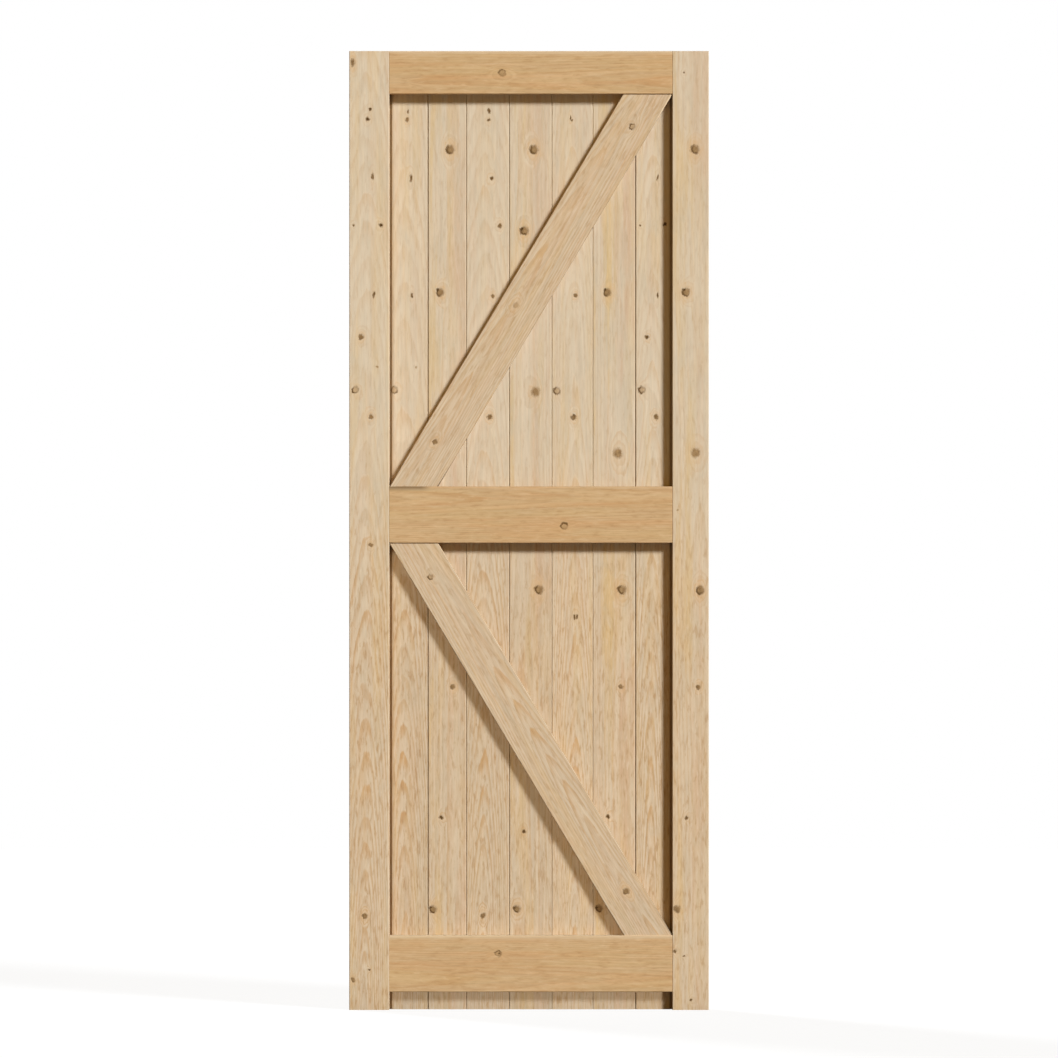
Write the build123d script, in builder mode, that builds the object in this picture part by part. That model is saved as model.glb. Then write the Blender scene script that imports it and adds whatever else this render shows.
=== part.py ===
"""Framed, ledged and braced barn door leaf in knotty pine.

Two full-height stiles and a top rail make the frame. A middle and a bottom ledge, thinner than the
stiles by the boards, are tenoned between them. Two braces run from the middle ledge to the far
corners. Tongue-and-groove boards sit in ploughs in the stiles and the top rail, run over the
ledges and braces down to the bottom edge, and are nailed to them.

X runs across the leaf, Y through its thickness and Z up. The braced face looks along -Y and the
boarded face along +Y. The origin is the middle of the bottom edge. Sizes are in millimetres.
"""

import os
from math import sqrt

from build123d import *

os.makedirs("parts", exist_ok=True)

# Leaf
door_width = 762.0
door_height = 2032.0
door_thickness = 44.0

# Stiles, top rail and ledges
left_stile_width = 85.0
right_stile_width = 77.0
top_rail_height = 91.0
ledge_height = 120.0
bottom_ledge_lift = 38.0  # board ends that show under the bottom ledge
arris_radius = 2.0

# Braces
brace_width = 89.0
brace_setback = 3.0  # the braces stand back from the ledges on the braced face

# Boards, as shares of the width between the stiles, from left to right
board_width_shares = (0.136, 0.136, 0.152, 0.150, 0.145, 0.151, 0.130)
board_thickness = 16.0
board_setback = 1.0  # the boards stand back from the stiles on the boarded face
stile_gap = 4.5  # room to swell, between a stile and the shoulder of its edge board
widest_seam_gap = 1.4  # between the shoulders of two boards
seam_gap_shares = (1.0, 0.45, 0.55, 0.35, 0.35, 1.0)
braced_vee = 1.2  # chamfer of each board arris on the braced face
boarded_vee = 3.0  # chamfer of each board arris on the boarded face

# Tongues of the boards and the ploughs that take them
tongue_thickness = 5.0
tongue_length = 7.0
end_tongue_length = 9.0
edge_tongue_length = tongue_length + stile_gap  # reaches across the gap into a stile
tongue_side_clearance = 0.15
tongue_end_clearance = 0.5

# Wedged mortice and tenon joints
tenon_thickness = 14.0
top_tenon_height = 56.0
ledge_tenon_height = 80.0
haunch_depth = 15.0
wedge_length = 50.0
wedge_mouth = 6.0  # thickness of a wedge at the stile's outer edge

# Cut nails, stamped from sheet and driven through the boards into the ledges and braces
nail_length = 36.0
nail_sheet = 2.0
nail_head_width = 4.8  # along the grain of the boards, so as not to split them
nail_head_height = 1.8
nail_root_width = 3.4
nail_point_width = 1.6
nail_side_share = 0.25  # how far in from a board's side its ledge nails stand
ledge_nail_stagger = 28.0  # above and below the middle of a ledge
brace_nail_margin = 60.0  # least height from a brace's end to a nail

# Places across the leaf
left_edge = -door_width / 2
right_edge = door_width / 2
panel_left = left_edge + left_stile_width
panel_right = right_edge - right_stile_width
panel_width = panel_right - panel_left

# Places up the leaf
top_rail_bottom = door_height - top_rail_height
bottom_ledge_top = bottom_ledge_lift + ledge_height
middle_ledge_bottom = (top_rail_bottom + bottom_ledge_top - ledge_height) / 2
middle_ledge_top = middle_ledge_bottom + ledge_height
opening_height = top_rail_bottom - middle_ledge_top

# Places through the leaf
ledge_thickness = door_thickness - board_thickness - board_setback
braced_face = -door_thickness / 2
ledge_back = braced_face + ledge_thickness
board_face = ledge_back + board_thickness
brace_thickness = ledge_thickness - brace_setback
tongue_middle = ledge_back + board_thickness / 2
tenon_middle = ledge_back - tenon_thickness / 2

# Ploughs
plough_width = tongue_thickness + 2 * tongue_side_clearance
plough_depth = tongue_length + tongue_end_clearance
end_plough_depth = end_tongue_length + tongue_end_clearance
end_plough_top = top_rail_bottom + end_plough_depth

# Tenons, each as its lowest and highest place
ledge_tenon_shoulder = (ledge_height - ledge_tenon_height) / 2
tenon_spans = {
    "top_rail": (top_rail_bottom, top_rail_bottom + top_tenon_height),
    "middle_ledge": (middle_ledge_bottom + ledge_tenon_shoulder, middle_ledge_top - ledge_tenon_shoulder),
    "bottom_ledge": (bottom_ledge_lift + ledge_tenon_shoulder, bottom_ledge_top - ledge_tenon_shoulder),
}
top_tenon_top = tenon_spans["top_rail"][1]

# Each stile as its width, its inner edge and the way to its outer edge
stiles = {
    "left_stile": (left_stile_width, panel_left, -1),
    "right_stile": (right_stile_width, panel_right, 1),
}

# A brace's long edges run corner to corner, so its level cut is longer than it is wide
brace_cut = (
    sqrt(
        (brace_width**2 * panel_width) ** 2
        + (opening_height**2 - brace_width**2) * brace_width**2 * (panel_width**2 + opening_height**2)
    )
    - brace_width**2 * panel_width
) / (opening_height**2 - brace_width**2)
brace_run = panel_width - brace_cut
panel_middle = (panel_left + panel_right) / 2

# Each brace as its lower end and the way that it leans
braces = {
    "upper_brace": (middle_ledge_top, 1),
    "lower_brace": (bottom_ledge_top, -1),
}


def board_sides():
    """The left and right shoulder of each board, from left to right."""
    sides = []
    side = panel_left
    gaps = [2 * stile_gap] + [widest_seam_gap * share for share in seam_gap_shares] + [2 * stile_gap]
    for share, gap_before, gap_after in zip(board_width_shares, gaps, gaps[1:]):
        next_side = side + share * panel_width / sum(board_width_shares)
        sides.append((side + gap_before / 2, next_side - gap_after / 2))
        side = next_side
    return sides


def ledge_nail_places(ledge_middle):
    """Two staggered nails through each board into a ledge."""
    places = []
    for left, right in board_sides():
        inset = nail_side_share * (right - left)
        places.append((left + inset, board_face, ledge_middle + ledge_nail_stagger))
        places.append((right - inset, board_face, ledge_middle - ledge_nail_stagger))
    return places


def brace_nail_places(brace_bottom, lean):
    """One nail where the middle of a board crosses the middle of a brace."""
    places = []
    for left, right in board_sides():
        across = (left + right) / 2 - panel_middle
        height = opening_height / 2 + lean * across * opening_height / brace_run
        if brace_nail_margin < height < opening_height - brace_nail_margin:
            places.append((panel_middle + across, board_face, brace_bottom + height))
    return places


nail_places = {
    "middle_ledge": ledge_nail_places((middle_ledge_bottom + middle_ledge_top) / 2),
    "bottom_ledge": ledge_nail_places((bottom_ledge_lift + bottom_ledge_top) / 2),
    "upper_brace": brace_nail_places(*braces["upper_brace"]),
    "lower_brace": brace_nail_places(*braces["lower_brace"]),
}


def finish(piece, name):
    """Labels a finished piece and writes it out."""
    piece.part.label = name
    export_step(piece.part, f"parts/{name}.step")


# One nail, with its head at the origin and its point along -Y
with BuildPart() as nail:
    with BuildSketch(Plane.YZ):
        with Locations((-nail_head_height / 2, 0)):
            Rectangle(nail_head_height, nail_head_width)
        Polygon(
            (-nail_head_height, nail_root_width / 2),
            (-nail_length, nail_point_width / 2),
            (-nail_length, -nail_point_width / 2),
            (-nail_head_height, -nail_root_width / 2),
            align=None,
        )
    extrude(amount=nail_sheet / 2, both=True)


def make_stile(name, width, inner_edge, outward):
    """A stile with a plough for the boards, and a flared mortice for each tenon."""
    outer_edge = inner_edge + outward * width
    wedge_tip = outer_edge - outward * wedge_length
    with BuildPart() as stile:
        with BuildSketch() as section:
            with Locations(((inner_edge + outer_edge) / 2, 0)):
                Rectangle(width, door_thickness)
            fillet(section.vertices(), arris_radius)
        extrude(amount=door_height)
        with Locations((inner_edge + outward * plough_depth / 2, tongue_middle, end_plough_top / 2)):
            Box(plough_depth, plough_width, end_plough_top, mode=Mode.SUBTRACT)
        with BuildSketch(Plane.XZ.offset(-ledge_back)):
            for low, high in tenon_spans.values():
                Polygon(
                    (inner_edge, low),
                    (wedge_tip, low),
                    (outer_edge, low - wedge_mouth),
                    (outer_edge, high + wedge_mouth),
                    (wedge_tip, high),
                    (inner_edge, high),
                    align=None,
                )
            haunch_height = door_height - top_tenon_top
            with Locations((inner_edge + outward * haunch_depth / 2, top_tenon_top + haunch_height / 2)):
                Rectangle(haunch_depth, haunch_height)
        extrude(amount=tenon_thickness, mode=Mode.SUBTRACT)
    finish(stile, name)


def make_wedges(name, low, high):
    """Two wedges at each end of a tenon, driven in from the stiles' outer edges."""
    with BuildPart() as wedges:
        with BuildSketch(Plane.XZ.offset(-ledge_back)):
            for width, inner_edge, outward in stiles.values():
                outer_edge = inner_edge + outward * width
                wedge_tip = outer_edge - outward * wedge_length
                for side, away in ((low, -wedge_mouth), (high, wedge_mouth)):
                    Polygon((wedge_tip, side), (outer_edge, side), (outer_edge, side + away), align=None)
        extrude(amount=tenon_thickness)
    finish(wedges, name)


def make_ledge(name, bottom):
    """A ledge with a bare-faced tenon at each end, flush with its back."""
    low, high = tenon_spans[name]
    with BuildPart() as ledge:
        with BuildSketch(Plane.YZ.offset(panel_left)) as section:
            with Locations((braced_face + ledge_thickness / 2, bottom + ledge_height / 2)):
                Rectangle(ledge_thickness, ledge_height)
            fillet(section.vertices().group_by(Axis.X)[0], arris_radius)
        extrude(amount=panel_width)
        with Locations((0, tenon_middle, (low + high) / 2)):
            Box(door_width, tenon_thickness, high - low)
        with Locations(*nail_places[name]):
            add(nail.part, mode=Mode.SUBTRACT)
    finish(ledge, name)


def make_top_rail(name):
    """The top rail, with haunched tenons and a plough for the boards' end tongues."""
    low, high = tenon_spans[name]
    with BuildPart() as top_rail:
        with BuildSketch(Plane.YZ.offset(panel_left)) as section:
            with Locations((0, top_rail_bottom + top_rail_height / 2)):
                Rectangle(door_thickness, top_rail_height)
            fillet(section.vertices(), arris_radius)
        extrude(amount=panel_width)
        with Locations((0, tenon_middle, (low + high) / 2)):
            Box(door_width, tenon_thickness, high - low)
        with Locations((panel_middle, tenon_middle, (high + door_height) / 2)):
            Box(panel_width + 2 * haunch_depth, tenon_thickness, door_height - high)
        with Locations((panel_middle, tongue_middle, top_rail_bottom + end_plough_depth / 2)):
            Box(panel_width, plough_width, end_plough_depth, mode=Mode.SUBTRACT)
    finish(top_rail, name)


def make_brace(name, bottom, lean):
    """A brace of plain stock along the diagonal, cut level at both ends."""
    middle = Vector(panel_middle, ledge_back - brace_thickness / 2, bottom + opening_height / 2)
    along = Plane(origin=middle, x_dir=(0, 1, 0), z_dir=(lean * brace_run, 0, opening_height))
    with BuildPart() as brace:
        with BuildSketch(along) as section:
            Rectangle(brace_thickness, brace_width)
            fillet(section.vertices().group_by(Axis.X)[0], arris_radius)
        extrude(amount=opening_height, both=True)
        split(bisect_by=Plane.XY.offset(bottom), keep=Keep.TOP)
        split(bisect_by=Plane.XY.offset(bottom + opening_height), keep=Keep.BOTTOM)
        with Locations(*nail_places[name]):
            add(nail.part, mode=Mode.SUBTRACT)
    finish(brace, name)


def make_board(name, left, right, is_first, is_last):
    """A board tongued on its right side and at its top. Only the first has a left tongue too."""
    right_tongue_length = edge_tongue_length if is_last else tongue_length
    with BuildPart() as board:
        with BuildSketch() as section:
            with Locations(((left + right) / 2, tongue_middle)):
                Rectangle(right - left, board_thickness)
            chamfer(section.vertices().group_by(Axis.Y)[0], braced_vee)
            chamfer(section.vertices().group_by(Axis.Y)[-1], boarded_vee)
            with Locations((right + right_tongue_length / 2, tongue_middle)):
                Rectangle(right_tongue_length, tongue_thickness)
            if is_first:
                with Locations((left - edge_tongue_length / 2, tongue_middle)):
                    Rectangle(edge_tongue_length, tongue_thickness)
            else:
                with Locations((left + plough_depth / 2, tongue_middle)):
                    Rectangle(plough_depth, plough_width, mode=Mode.SUBTRACT)
        extrude(amount=top_rail_bottom + end_tongue_length)
        # The top end is rebated on both faces, which leaves the end tongue
        shoulder = (board_thickness - tongue_thickness) / 2
        for rebate_middle in (ledge_back + shoulder / 2, board_face - shoulder / 2):
            with Locations(((left + right) / 2, rebate_middle, top_rail_bottom + end_tongue_length / 2)):
                Box(right - left, shoulder, end_tongue_length, mode=Mode.SUBTRACT)
        nails = [place for places in nail_places.values() for place in places if left < place[0] < right]
        with Locations(*nails):
            add(nail.part, mode=Mode.SUBTRACT)
    finish(board, name)


def make_nails(name, places):
    """The nails through the boards into one ledge or brace."""
    with BuildPart() as nails:
        with Locations(*places):
            add(nail.part)
    finish(nails, name)


for stile_name, (stile_width, inner_edge, outward) in stiles.items():
    make_stile(stile_name, stile_width, inner_edge, outward)

make_top_rail("top_rail")
make_ledge("middle_ledge", middle_ledge_bottom)
make_ledge("bottom_ledge", bottom_ledge_lift)

for tenoned_name, (tenon_low, tenon_high) in tenon_spans.items():
    make_wedges(f"{tenoned_name}_wedges", tenon_low, tenon_high)

for brace_name, (brace_bottom, lean) in braces.items():
    make_brace(brace_name, brace_bottom, lean)

for number, (left, right) in enumerate(board_sides(), start=1):
    make_board(f"board_{number}", left, right, number == 1, number == len(board_width_shares))

for nailed_name, places in nail_places.items():
    make_nails(f"{nailed_name}_nails", places)

print("brace level cut", round(brace_cut, 1), "ledge thickness", ledge_thickness)
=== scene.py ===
import math

import bmesh
import bpy
from mathutils import Matrix, Vector


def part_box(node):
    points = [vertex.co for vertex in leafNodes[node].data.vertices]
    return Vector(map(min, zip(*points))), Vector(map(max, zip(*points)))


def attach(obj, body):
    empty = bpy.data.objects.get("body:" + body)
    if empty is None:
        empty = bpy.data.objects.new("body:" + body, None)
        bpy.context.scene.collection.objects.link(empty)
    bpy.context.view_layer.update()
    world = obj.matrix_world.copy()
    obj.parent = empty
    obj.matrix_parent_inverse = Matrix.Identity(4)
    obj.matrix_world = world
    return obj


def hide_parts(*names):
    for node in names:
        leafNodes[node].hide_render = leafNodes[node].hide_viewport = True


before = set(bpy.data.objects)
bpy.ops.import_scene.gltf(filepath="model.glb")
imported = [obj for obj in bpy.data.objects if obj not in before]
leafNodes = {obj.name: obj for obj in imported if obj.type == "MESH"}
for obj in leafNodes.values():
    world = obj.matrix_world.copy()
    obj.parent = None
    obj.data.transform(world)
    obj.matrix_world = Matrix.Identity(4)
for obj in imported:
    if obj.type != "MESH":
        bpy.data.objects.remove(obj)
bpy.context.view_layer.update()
print("leaf loaded,", len(leafNodes), "pieces")

bpy.context.scene.view_settings.view_transform = "Standard"
mm = 0.001


def tint(red, green, blue):  # paint chip levels, 0 to 255, as a node colour
    def plain(level):
        level = level / 255
        return level / 12.92 if level <= 0.04045 else ((level + 0.055) / 1.055) ** 2.4
    return (plain(red), plain(green), plain(blue), 1.0)


# small helpers that keep the node trees short
def join(tree, source, socket):
    if isinstance(source, bpy.types.NodeSocket):
        tree.links.new(source, socket)
    else:
        socket.default_value = source


def sums(tree, operation, *values, clamp=False):
    node = tree.nodes.new("ShaderNodeMath")
    node.operation = operation
    node.use_clamp = clamp
    for value, socket in zip(values, node.inputs):
        join(tree, value, socket)
    return node.outputs[0]


def times(tree, first, second):
    return sums(tree, "MULTIPLY", first, second)


def scaled(tree, value, by, base):  # value times by, plus base
    return sums(tree, "MULTIPLY_ADD", value, by, base)


def centred(tree, value):  # noise about zero
    return sums(tree, "SUBTRACT", value, 0.5)


def vectors(tree, operation, *values):
    node = tree.nodes.new("ShaderNodeVectorMath")
    node.operation = operation
    for value, socket in zip(values, node.inputs):
        join(tree, value, socket)
    return node.outputs["Value" if operation in ("LENGTH", "DOT_PRODUCT") else "Vector"]


def split(tree, vector):
    node = tree.nodes.new("ShaderNodeSeparateXYZ")
    join(tree, vector, node.inputs[0])
    return node.outputs[0], node.outputs[1], node.outputs[2]


def gather(tree, x, y, z):
    node = tree.nodes.new("ShaderNodeCombineXYZ")
    for value, socket in zip((x, y, z), node.inputs):
        join(tree, value, socket)
    return node.outputs[0]


def fade(tree, value, low, high, start=0.0, end=1.0):  # eased ramp, clamped at both ends
    node = tree.nodes.new("ShaderNodeMapRange")
    node.interpolation_type = "SMOOTHSTEP"
    feeds = {"Value": value, "From Min": low, "From Max": high, "To Min": start, "To Max": end}
    for label, item in feeds.items():
        join(tree, item, node.inputs[label])
    return node.outputs["Result"]


def hump(tree, value, rise, fall):  # eased up over one stretch and down over another
    return times(tree, fade(tree, value, *rise), fade(tree, value, *fall, 1.0, 0.0))


def mix(tree, factor, first, second, mode="MIX"):  # the colour sockets of a mix are 6, 7 and 2
    node = tree.nodes.new("ShaderNodeMix")
    node.data_type = "RGBA"
    node.blend_type = mode
    join(tree, factor, node.inputs[0])
    join(tree, first, node.inputs[6])
    join(tree, second, node.inputs[7])
    return node.outputs[2]


def shade(tree, colour, value):  # lighten or darken by a factor about 1
    node = tree.nodes.new("ShaderNodeHueSaturation")
    join(tree, value, node.inputs["Value"])
    join(tree, colour, node.inputs["Color"])
    return node.outputs[0]


def mottle(tree, vector, stretch, detail=2.0, rough=0.5, twist=0.0):  # noise stretched along the grain
    node = tree.nodes.new("ShaderNodeTexNoise")
    join(tree, vectors(tree, "MULTIPLY", vector, stretch), node.inputs["Vector"])
    node.inputs["Scale"].default_value = 1.0
    node.inputs["Detail"].default_value = detail
    node.inputs["Roughness"].default_value = rough
    node.inputs["Distortion"].default_value = twist
    return node.outputs[0], node.outputs[1]


def newGroup(name, takes, gives):
    group = bpy.data.node_groups.new(name, "ShaderNodeTree")
    for label, kind, value in takes:
        socket = group.interface.new_socket(name=label, in_out="INPUT", socket_type="NodeSocket" + kind)
        socket.default_value = value
    for label, kind in gives:
        group.interface.new_socket(name=label, in_out="OUTPUT", socket_type="NodeSocket" + kind)
    start = group.nodes.new("NodeGroupInput")
    end = group.nodes.new("NodeGroupOutput")
    return group, start.outputs, end.inputs


def place(tree, group, feeds):
    node = tree.nodes.new("ShaderNodeGroup")
    node.node_tree = group
    for label, value in feeds.items():
        join(tree, value, node.inputs[label])
    return node.outputs


def newMaterial(name):
    material = bpy.data.materials.new(name)
    material.use_nodes = True
    material.node_tree.nodes.clear()
    return material, material.node_tree


def makeSkin(tree, colour, rough, height, relief, depth):  # relief is the bump's strength, depth is in mm
    bump = tree.nodes.new("ShaderNodeBump")
    bump.inputs["Strength"].default_value = relief
    bump.inputs["Distance"].default_value = depth * mm
    tree.links.new(height, bump.inputs["Height"])
    skin = tree.nodes.new("ShaderNodeBsdfPrincipled")
    tree.links.new(colour, skin.inputs["Base Color"])
    tree.links.new(rough, skin.inputs["Roughness"])
    tree.links.new(bump.outputs[0], skin.inputs["Normal"])
    output = tree.nodes.new("ShaderNodeOutputMaterial")
    tree.links.new(skin.outputs[0], output.inputs[0])
    return skin


# one knot of a chain: keeps the nearest knot so far and what that knot looks like
knotForm = dict(stretch=(0.75, 1, 0.5), heavySide=(-0.85, 0, -0.35), far=99.0)


def makeKnotStep():
    far = knotForm["far"]
    group, given, result = newGroup(
        "knotStep",
        [("Local", "Vector", (0, 0, 0)), ("Centre", "Vector", (0, 0, 0)), ("Size", "Vector", (1, 1, 1)),
         ("Stretch", "Vector", knotForm["stretch"]), ("Look", "Vector", (0, 0, 0)),
         ("Heavy Side", "Vector", knotForm["heavySide"]), ("Near", "Float", far), ("Reach", "Float", far),
         ("Side", "Float", 0.0), ("Kind", "Vector", (0, 0, 0))],
        [("Near", "Float"), ("Reach", "Float"), ("Side", "Float"), ("Kind", "Vector")])
    away = vectors(group, "SUBTRACT", given["Local"], given["Centre"])
    away = vectors(group, "DIVIDE", away, given["Size"])
    near = vectors(group, "LENGTH", away)
    reach = vectors(group, "LENGTH", vectors(group, "MULTIPLY", away, given["Stretch"]))
    closer = sums(group, "LESS_THAN", near, given["Near"])
    side = vectors(group, "DOT_PRODUCT", away, given["Heavy Side"])
    side = scaled(group, sums(group, "SUBTRACT", side, given["Side"]), closer, given["Side"])
    chosen = group.nodes.new("ShaderNodeMix")  # the vector sockets of a mix are 4, 5 and 1
    chosen.data_type = "VECTOR"
    join(group, closer, chosen.inputs[0])
    join(group, given["Kind"], chosen.inputs[4])
    join(group, given["Look"], chosen.inputs[5])
    join(group, side, result["Side"])
    join(group, sums(group, "MINIMUM", near, given["Near"]), result["Near"])
    join(group, sums(group, "MINIMUM", reach, given["Reach"]), result["Reach"])
    join(group, chosen.outputs[1], result["Kind"])
    return group


# growth rings of the log that a timber was sawn from, bent round its knots
# pulls are in rings, pullRange in half sizes of the knot, tipRange in mm, places within a ring from 0 to 1
ringLook = dict(
    sway=dict(stretch=(2.0, 2.0, 1.3), detail=1.0),
    grain=dict(stretch=(34.0, 34.0, 3.4), detail=3.0, rough=0.55), ragged=1.5,
    pullRange=(0.35, 2.6), pullMost=3.6, pullLeastShare=0.25, pullStainShare=0.9,
    lateRise=(0.30, 0.88), lateFall=(0.90, 1.0), lateLeast=0.35,
    tipRise=(0.30, 0.85), tipFall=(0.88, 1.0), tipRange=(3, 14), tipTones=(0.2, 0.6), tipLeast=0.25)


def makeGrowthRings():
    look = ringLook
    group, given, result = newGroup(
        "growthRings",
        [("Local", "Vector", (0, 0, 0)), ("Pith", "Vector", (0, 0, 0)), ("Lean", "Vector", (0, 0, 0)),
         ("Ring Width", "Float", 3 * mm), ("Wander", "Float", 10 * mm), ("Seed", "Vector", (0, 0, 0)),
         ("Reach", "Float", knotForm["far"]), ("Swell", "Float", 0.5)],
        [("Late Wood", "Float"), ("Ring Tone", "Float"), ("Arch Tip", "Float")])
    shifted = vectors(group, "ADD", given["Local"], given["Seed"])
    along = split(group, given["Local"])[2]
    sway = vectors(group, "SUBTRACT", mottle(group, shifted, **look["sway"])[1], (0.5, 0.5, 0.5))
    sway = vectors(group, "MULTIPLY", sway, gather(group, given["Wander"], given["Wander"], 0.0))
    leaning = vectors(group, "MULTIPLY", given["Lean"], gather(group, along, along, along))
    fromPith = vectors(group, "SUBTRACT", given["Local"], vectors(group, "ADD", given["Pith"], leaning))
    offX, offY = split(group, vectors(group, "ADD", fromPith, sway))[:2]
    radius = vectors(group, "LENGTH", gather(group, offX, offY, 0.0))
    ragged = centred(group, mottle(group, shifted, **look["grain"])[0])
    pull = fade(group, given["Reach"], *look["pullRange"], look["pullMost"], 0.0)  # rings swell round a knot
    pull = times(group, pull, scaled(group, given["Swell"], look["pullStainShare"], look["pullLeastShare"]))
    count = sums(group, "DIVIDE", radius, given["Ring Width"])
    count = scaled(group, ragged, look["ragged"], count)
    count = sums(group, "SUBTRACT", count, pull)
    within = sums(group, "FRACT", count)
    white = group.nodes.new("ShaderNodeTexWhiteNoise")
    white.noise_dimensions = "1D"
    join(group, sums(group, "FLOOR", count), white.inputs["W"])
    ringTone = white.outputs["Value"]
    late = hump(group, within, look["lateRise"], look["lateFall"])
    late = times(group, late, scaled(group, ringTone, 1.0 - look["lateLeast"], look["lateLeast"]))
    tip = hump(group, within, look["tipRise"], look["tipFall"])
    tipFrom, tipTo = look["tipRange"]
    flatCut = fade(group, sums(group, "ABSOLUTE", offX), tipFrom * mm, tipTo * mm, 1.0, 0.0)
    tip = times(group, tip, flatCut)  # an arch's tip is where its ring is cut flat
    tip = times(group, tip, fade(group, ringTone, *look["tipTones"], look["tipLeast"], 1.0))
    join(group, tip, result["Arch Tip"])
    join(group, late, result["Late Wood"])
    join(group, ringTone, result["Ring Tone"])
    return group


# streaks, bands, soft blotches and resin flecks that run with the grain; a dash is a few centimetres long
threadLook = dict(
    streak=dict(stretch=(210.0, 210.0, 7.0), detail=4.0, rough=0.62),
    dash=dict(stretch=(205.0, 205.0, 38.0), detail=3.0, rough=0.58, twist=0.35),
    fine=dict(stretch=(1150.0, 1150.0, 26.0), detail=2.0, rough=0.6),
    band=dict(stretch=(48.0, 48.0, 2.6), detail=3.0, rough=0.55),
    blotch=dict(stretch=(30.0, 30.0, 10.0), detail=3.0, rough=0.6, twist=0.6),
    fleck=dict(stretch=(620.0, 620.0, 52.0), detail=1.0),
    darkRange=(0.50, 0.72), paleRange=(0.48, 0.28), rosyRange=(0.42, 0.68), strawRange=(0.42, 0.66),
    blotchRange=(0.46, 0.70), fleckRange=(0.68, 0.80))


def makeFibre():
    look = threadLook
    group, given, result = newGroup(
        "fibre",
        [("Local", "Vector", (0, 0, 0)), ("Seed", "Vector", (0, 0, 0))],
        [("Streak", "Float"), ("Dark Dash", "Float"), ("Pale Dash", "Float"), ("Fine", "Float"),
         ("Rosy", "Float"), ("Straw", "Float"), ("Blotch", "Float"), ("Fleck", "Float")])
    shifted = vectors(group, "ADD", given["Local"], given["Seed"])
    dash = mottle(group, shifted, **look["dash"])[0]
    rosyBand, strawBand = split(group, mottle(group, shifted, **look["band"])[1])[:2]
    blotch = mottle(group, shifted, **look["blotch"])[0]
    fleck = mottle(group, shifted, **look["fleck"])[0]
    join(group, mottle(group, shifted, **look["streak"])[0], result["Streak"])
    join(group, mottle(group, shifted, **look["fine"])[0], result["Fine"])
    join(group, fade(group, dash, *look["darkRange"]), result["Dark Dash"])
    join(group, fade(group, dash, *look["paleRange"]), result["Pale Dash"])
    join(group, fade(group, rosyBand, *look["rosyRange"]), result["Rosy"])
    join(group, fade(group, strawBand, *look["strawRange"]), result["Straw"])
    join(group, fade(group, blotch, *look["blotchRange"]), result["Blotch"])
    join(group, fade(group, fleck, *look["fleckRange"]), result["Fleck"])
    return group


# colour and relief of the knots over the plain wood; a range from the middle is in half sizes of the knot
knotPaint = dict(
    heart=tint(82, 56, 26), flesh=tint(190, 152, 104), bark=tint(98, 69, 34), stain=tint(217, 172, 118),
    patches=dict(stretch=(170.0, 170.0, 110.0), detail=2.0), patchTone=0.9,
    grit=dict(stretch=(640.0, 640.0, 420.0), detail=2.0), ragged=0.7,
    insideRange=(0.55, 1.18), barkRise=(0.48, 0.88), barkFall=(0.95, 1.40),
    barkGaps=2.4, barkHeavy=(-0.65, 0.65), barkLeast=0.38,
    circles=17.0, swirl=6.0, circleTone=0.08, heartFrom=(0.0, 0.2), fleshFrom=(0.0, 0.5), fleshLeast=0.35,
    glowRange=(0.45, 2.4), glowMost=0.80, glowPatches=(0.28, 0.66), glowLeast=0.45, bulge=0.35)


def makeKnotLook():
    look = knotPaint
    group, given, result = newGroup(
        "knotLook",
        [("Wood", "Color", (1, 1, 1, 1)), ("Local", "Vector", (0, 0, 0)), ("Near", "Float", knotForm["far"]),
         ("Reach", "Float", knotForm["far"]), ("Side", "Float", 0.0), ("Kind", "Vector", (0, 0, 0)),
         ("Heart", "Color", look["heart"]), ("Flesh", "Color", look["flesh"]),
         ("Bark", "Color", look["bark"]), ("Stain", "Color", look["stain"])],
        [("Color", "Color"), ("Knot", "Float"), ("Height", "Float")])
    core, rim, stain = split(group, given["Kind"])
    patch, gaps, swirl = split(group, mottle(group, given["Local"], **look["patches"])[1])
    grit = mottle(group, given["Local"], **look["grit"])[0]
    near = scaled(group, centred(group, grit), look["ragged"], given["Near"])  # ragged outline
    inside = fade(group, near, *look["insideRange"], 1.0, 0.0)
    bark = hump(group, near, look["barkRise"], look["barkFall"])
    broken = scaled(group, centred(group, gaps), look["barkGaps"], given["Side"])
    broken = fade(group, broken, *look["barkHeavy"], look["barkLeast"], 1.0)
    bark = times(group, bark, broken)  # the bark ring is broken, and heavier on one side
    bark = times(group, bark, rim)
    circles = scaled(group, swirl, look["swirl"], times(group, near, look["circles"]))
    heart = scaled(group, sums(group, "SINE", circles), look["circleTone"], core)
    heart = sums(group, "MULTIPLY_ADD", centred(group, patch), look["patchTone"], heart, clamp=True)
    heart = times(group, heart, fade(group, core, *look["heartFrom"]))
    glow = times(group, fade(group, given["Reach"], *look["glowRange"], look["glowMost"], 0.0), stain)
    glow = times(group, glow, fade(group, patch, *look["glowPatches"], look["glowLeast"], 1.0))
    colour = mix(group, glow, given["Wood"], given["Stain"])
    flesh = mix(group, heart, given["Flesh"], given["Heart"])
    fleshShare = times(group, inside, fade(group, core, *look["fleshFrom"], look["fleshLeast"], 1.0))
    colour = mix(group, fleshShare, colour, flesh)
    colour = mix(group, bark, colour, given["Bark"])
    join(group, colour, result["Color"])
    join(group, sums(group, "MAXIMUM", times(group, inside, core), bark), result["Knot"])
    join(group, scaled(group, inside, look["bulge"], times(group, bark, -1.0)), result["Height"])
    return group


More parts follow.
